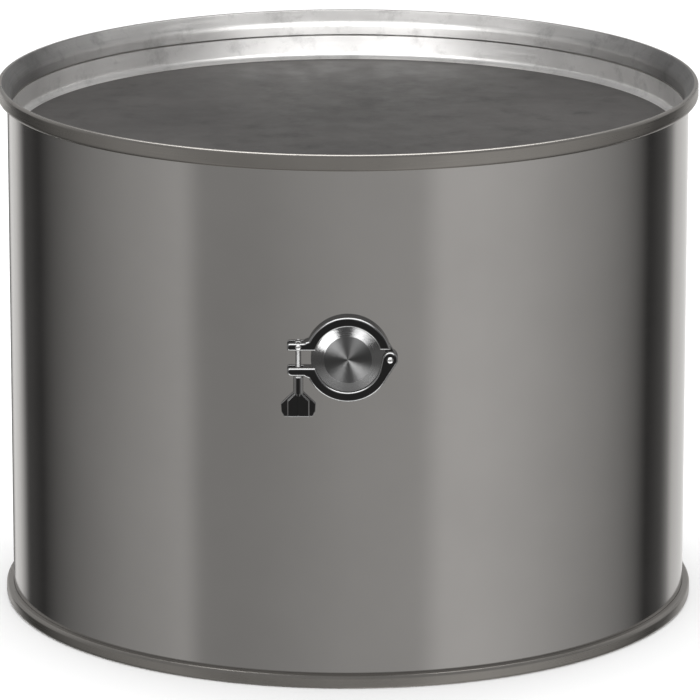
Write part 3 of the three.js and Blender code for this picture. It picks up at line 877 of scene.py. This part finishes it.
# What the shell shows of the studio walls, as grey levels by azimuth: 0 is in front of the port, 90 to
# the right. The walls are brighter than that by what the shell reflects.
WALLS = [
    (-180, 70), (-168, 75), (-163, 185), (-152, 168), (-147, 132), (-142, 52), (-136, 52), (-128, 38),
    (-118, 72), (-105, 95), (-92, 110), (-80, 121), (-64, 132), (-57, 137), (-50, 112), (-40, 112),
    (-28, 114), (0, 127), (24, 130), (32, 152), (45, 152), (60, 145), (95, 117), (107, 101), (115, 81),
    (122, 34), (135, 63), (141, 104), (146, 158), (166, 178), (180, 215),
]
REFLECTANCE = 0.59
WARMTH = (1.01, 1, 0.985)
SMOOTH = "SMOOTHSTEP"

world = bpy.data.worlds.new("studio")
bpy.context.scene.world = world
world.use_nodes = True
tree = world.node_tree
tree.nodes.clear()
split = new_node(tree, "ShaderNodeSeparateXYZ")
link(tree, new_node(tree, "ShaderNodeTexCoord").outputs["Generated"], split.inputs[0])
height = split.outputs["Z"]
forward = maths(tree, "MULTIPLY", split.outputs["Y"], -1.0)
azimuth = maths(tree, "ARCTAN2", split.outputs["X"], forward)
walls = new_node(tree, "ShaderNodeValToRGB")
link(tree, remap(tree, azimuth, -math.pi, math.pi, 0, 1), walls.inputs["Fac"])
stops = walls.color_ramp.elements
for degrees, grey in WALLS:
    if abs(degrees) < 180:
        stop = stops.new((degrees + 180) / 360)
    else:
        stop = stops[0 if degrees < 0 else -1]
    level = srgb(grey) / REFLECTANCE
    stop.color = (*[level * share for share in WARMTH], 1)
# Mirrored rays see the walls below the horizon, and above it a ceiling that is brighter toward the back.
low_walls = scaled(tree, walls.outputs["Color"], remap(tree, height, -0.30, -0.20, 0.97, 1.02))
ceiling = remap(tree, split.outputs["Y"], 0.1, 0.7, 0.3, 0.4, SMOOTH)
mirrored = mixed(tree, remap(tree, height, -0.1, 0.1, 0, 1, SMOOTH), low_walls, ceiling)
# Diffuse rays see a soft glow that is strongest in front, and the camera sees white.
glow = remap(tree, forward, -0.2, 1.0, 0.75, 2.4)
rays = new_node(tree, "ShaderNodeLightPath")
seen = mixed(tree, rays.outputs["Is Diffuse Ray"], mirrored, glow)
seen = mixed(tree, rays.outputs["Is Camera Ray"], seen)
background = new_node(tree, "ShaderNodeBackground")
link(tree, seen, background.inputs["Color"])
output = new_node(tree, "ShaderNodeOutputWorld")
link(tree, background.outputs["Background"], output.inputs["Surface"])


def softbox(name, azimuth, elevation, distance, half_width, half_height, radiance, names):
    """A soft area light that faces the port and lights only the named pieces. Its half sizes are angles,
    in degrees."""
    data = bpy.data.lights.new(name, "AREA")
    data.shape = "RECTANGLE"
    data.size = 2 * distance * math.tan(math.radians(half_width))
    data.size_y = 2 * distance * math.tan(math.radians(half_height))
    data.energy = radiance * math.pi * data.size * data.size_y
    light = bpy.data.objects.new(name, data)
    bpy.context.scene.collection.objects.link(light)
    a, e = math.radians(azimuth), math.radians(elevation)
    away = Vector((math.sin(a) * math.cos(e), -math.cos(a) * math.cos(e), math.sin(e)))
    target = Vector((0, -JOINT_S * MM, PORT_Z * MM))
    light.location = target + away * distance
    light.rotation_mode = "QUATERNION"
    light.rotation_quaternion = (-away).to_track_quat("-Z", "Y")
    lit = bpy.data.collections.new(name + "_targets")
    for piece_name in names:
        lit.objects.link(PIECES[piece_name])
    light.light_linking.receiver_collection = lit
    return lit


clamp = ["upper_jaw", "lower_jaw", "hinge_rivet", "bolt_rivet", "eye_bolt", "thrust_washer", "wing_nut_body"]
cap, inside = ["end_cap"], ["rim_skirt", "top_flange"]
# The shell's mirror finish doesn't repeat the port and its clamp.
for name in ["ferrule", "gasket", *cap, *clamp]:
    PIECES[name].visible_glossy = False
# Name, azimuth, elevation, distance, half width, half height, radiance, pieces.
for settings in (
    ("cap_left", -26, 11, 3.2, 11, 14, 27.0, cap),
    ("cap_right", 16, 14, 3.2, 9, 13, 15.0, cap),
    ("cap_low", 0, -46, 3.0, 38, 20, 0.9, cap),
    ("key_left", -26, 11, 3.2, 13, 14, 3.0, clamp),
    ("key_right", 16, 14, 3.2, 11, 13, 2.6, clamp),
    ("canopy", 0, 58, 3.0, 38, 30, 2.2, clamp),
    ("bounce", 0, -70, 3.0, 40, 32, 2.4, clamp),
    ("rim_left", -26, 18, 3.2, 13, 18, 13.0, inside),
    ("rim_right", 21, 20, 3.2, 16, 17, 10.0, inside),
):
    softbox(*settings)
all_but_flange = [name for name in PIECES if name != "top_flange"]
softbox("overhead", 180, 70, 3.4, 26, 18, 2.8, all_but_flange).objects.link(floor)

# ---- camera ----
DISTANCE, PITCH_DOWN = 6.8, math.radians(14.6)
AIM = Vector((0.0022, 0, 0.2736))
camera_data = bpy.data.cameras.new("camera")
camera_data.sensor_width = 36
camera_data.lens = 314.0
camera_data.clip_end = 100
camera = bpy.data.objects.new("camera", camera_data)
bpy.context.scene.collection.objects.link(camera)
toward_viewer = Vector((0, -math.cos(PITCH_DOWN), math.sin(PITCH_DOWN)))
camera.location = AIM + toward_viewer * DISTANCE
camera.rotation_mode = "QUATERNION"
camera.rotation_quaternion = (-toward_viewer).to_track_quat("-Z", "Y")
bpy.context.scene.camera = camera
bpy.context.scene.view_settings.view_transform = "Standard"

low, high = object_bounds()
